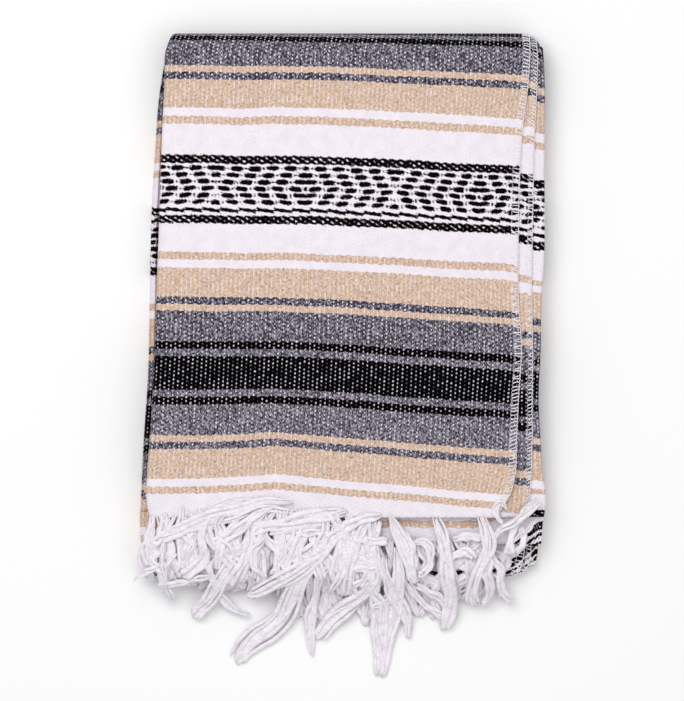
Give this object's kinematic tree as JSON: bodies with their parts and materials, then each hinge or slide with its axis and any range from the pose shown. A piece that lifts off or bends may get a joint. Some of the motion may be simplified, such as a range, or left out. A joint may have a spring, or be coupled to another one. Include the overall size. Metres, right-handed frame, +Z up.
{
  "type": "folded mexican blanket",
  "caption": "Striped falsa blanket of woven cotton and acrylic, folded into a flat stack with its white fringe over the lower fold.",
  "frame": {"origin": "on the resting face, under the middle of the folded blanket with its fringe", "axes": "+Z up out of the stack, +Y along the stack towards the closed head fold and away from the fringe, +X across to the free edges"},
  "size_m": [0.3544, 0.5572, 0.0447],
  "materials": {
    "striped_cloth": "matte weft-faced weave in white, tan, heather grey and black stripes",
    "fringe_yarn": "soft matte white yarn, slightly fuzzy"
  },
  "bodies": {
    "root": {"sheet_1": "striped_cloth", "sheet_2": "striped_cloth", "fold_3": "striped_cloth", "inner_fold": "striped_cloth", "fringe_upper": "fringe_yarn", "fringe_middle": "fringe_yarn", "fringe_lower": "fringe_yarn"}
  },
  "joints": []
}
